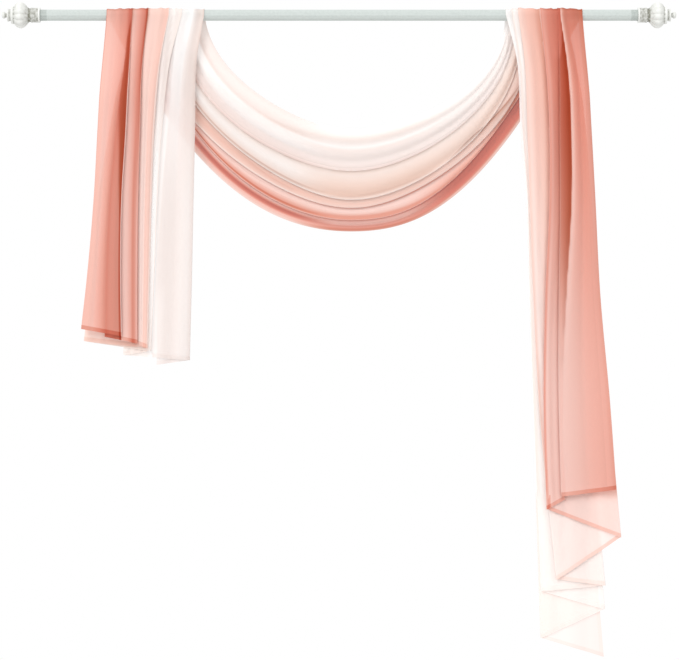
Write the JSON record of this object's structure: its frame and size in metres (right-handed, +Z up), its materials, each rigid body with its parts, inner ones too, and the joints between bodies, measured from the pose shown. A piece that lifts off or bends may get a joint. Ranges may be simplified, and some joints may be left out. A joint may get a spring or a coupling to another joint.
{
  "type": "scarf valance on a curtain rod",
  "caption": "Sheer ombre scarf valance draped over a fluted curtain rod: one swag between a short left tail and a long right tail with a zigzag hem, and a lobed finial at each rod end.",
  "frame": {"origin": "on the rod's axis at the middle of the rod", "axes": "+X along the rod towards the long tail, +Z up, the viewer on the -Y side"},
  "size_m": [1.714, 0.1055, 1.6605],
  "materials": {
    "voile": "sheer voile, coral at one edge fading to white",
    "rod": "pale grey-green satin paint on fine flutes",
    "finial": "antique white with darker wear in the grooves"
  },
  "bodies": {
    "root": {"scarf": "voile", "rod": "rod", "finial_left": "finial", "finial_right": "finial"}
  },
  "joints": []
}
